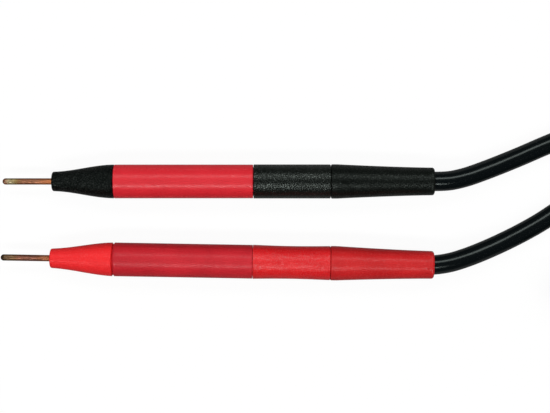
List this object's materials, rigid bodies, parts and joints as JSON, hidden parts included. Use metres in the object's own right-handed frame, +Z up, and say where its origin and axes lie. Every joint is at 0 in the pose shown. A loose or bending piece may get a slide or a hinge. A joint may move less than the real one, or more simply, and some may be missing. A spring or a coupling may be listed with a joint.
{
  "type": "test probe lead set",
  "caption": "Pair of pin-tipped test probes, black and red, with collet-held pins, screw nose caps, tapered boots, tied black leads and shrouded 4 mm plugs.",
  "frame": {"origin": "centre of the two probes' own footprint, on the surface that they lie on", "axes": "+X along the probes from their tips to their leads, +Y from the red probe to the black one, +Z up"},
  "size_m": [0.3617, 0.0572, 0.031],
  "materials": {
    "pin_copper": "drawn copper alloy, tarnished towards the point",
    "turned_brass": "turned brass",
    "tinned_copper": "copper",
    "nickel_plate": "nickel plated",
    "black_plastic": "moulded, fine spark-eroded grain",
    "red_plastic": "moulded, fine spark-eroded grain",
    "black_soft_plastic": "moulded soft plastic, satin",
    "red_soft_plastic": "moulded soft plastic, satin",
    "barrel_plastic": "moulded, satin",
    "lead_rubber": "glossy flexible jacket",
    "tie_strap": "woven hook-and-loop strap"
  },
  "bodies": {
    "handles": {"black_contact_body": "turned_brass", "black_barrel": "barrel_plastic", "black_rear_sleeve": "black_plastic", "black_strain_boot": "black_soft_plastic", "black_crimp_ferrule": "tinned_copper", "black_lead_core": "tinned_copper", "black_lead_jacket": "lead_rubber", "black_lead": "lead_rubber", "black_lead_hank": "lead_rubber", "black_lead_tail": "lead_rubber", "black_plug_boot": "black_soft_plastic", "black_plug_body": "black_plastic", "black_plug_shroud": "black_plastic", "black_plug_pin": "nickel_plate", "black_plug_spring": "turned_brass", "red_contact_body": "turned_brass", "red_barrel": "barrel_plastic", "red_rear_sleeve": "red_plastic", "red_strain_boot": "red_soft_plastic", "red_crimp_ferrule": "tinned_copper", "red_lead_core": "tinned_copper", "red_lead_jacket": "lead_rubber", "red_lead": "lead_rubber", "red_lead_hank": "lead_rubber", "red_lead_tail": "lead_rubber", "red_plug_boot": "red_soft_plastic", "red_plug_body": "red_plastic", "red_plug_shroud": "red_plastic", "red_plug_pin": "nickel_plate", "red_plug_spring": "turned_brass", "hank_tie": "tie_strap"},
    "black_collet_part": {"black_collet": "turned_brass"},
    "black_nose_part": {"black_nose_cap": "black_plastic"},
    "black_pin_part": {"black_probe_pin": "pin_copper"},
    "red_collet_part": {"red_collet": "turned_brass"},
    "red_nose_part": {"red_nose_cap": "red_plastic"},
    "red_pin_part": {"red_probe_pin": "pin_copper"}
  },
  "joints": [
    {"name": "black_collet_travel", "type": "slide", "parent": "handles", "child": "black_collet_part", "axis": [-1, 0, 0], "range_m": [0, 0.0015]},
    {"name": "black_cap_turn", "type": "hinge", "parent": "black_collet_part", "child": "black_nose_part", "pos_m": [-0.0524, 0.01297, 0.00545], "axis": [-1, 0, 0], "range_deg": [0, 720]},
    {"name": "black_pin_draw", "type": "slide", "parent": "black_collet_part", "child": "black_pin_part", "axis": [-1, 0, 0], "range_m": [0, 0.03]},
    {"name": "red_collet_travel", "type": "slide", "parent": "handles", "child": "red_collet_part", "axis": [-0.9998, 0.0175, 0], "range_m": [0, 0.0015]},
    {"name": "red_cap_turn", "type": "hinge", "parent": "red_collet_part", "child": "red_nose_part", "pos_m": [-0.053, -0.0114, 0.00545], "axis": [-0.9998, 0.0175, 0], "range_deg": [0, 720]},
    {"name": "red_pin_draw", "type": "slide", "parent": "red_collet_part", "child": "red_pin_part", "axis": [-0.9998, 0.0175, 0], "range_m": [0, 0.03]}
  ],
  "couplings": [
    {"joint": "black_cap_turn", "follows": "black_collet_travel", "rad_per_m": 8377.6},
    {"joint": "red_cap_turn", "follows": "red_collet_travel", "rad_per_m": 8377.6}
  ]
}
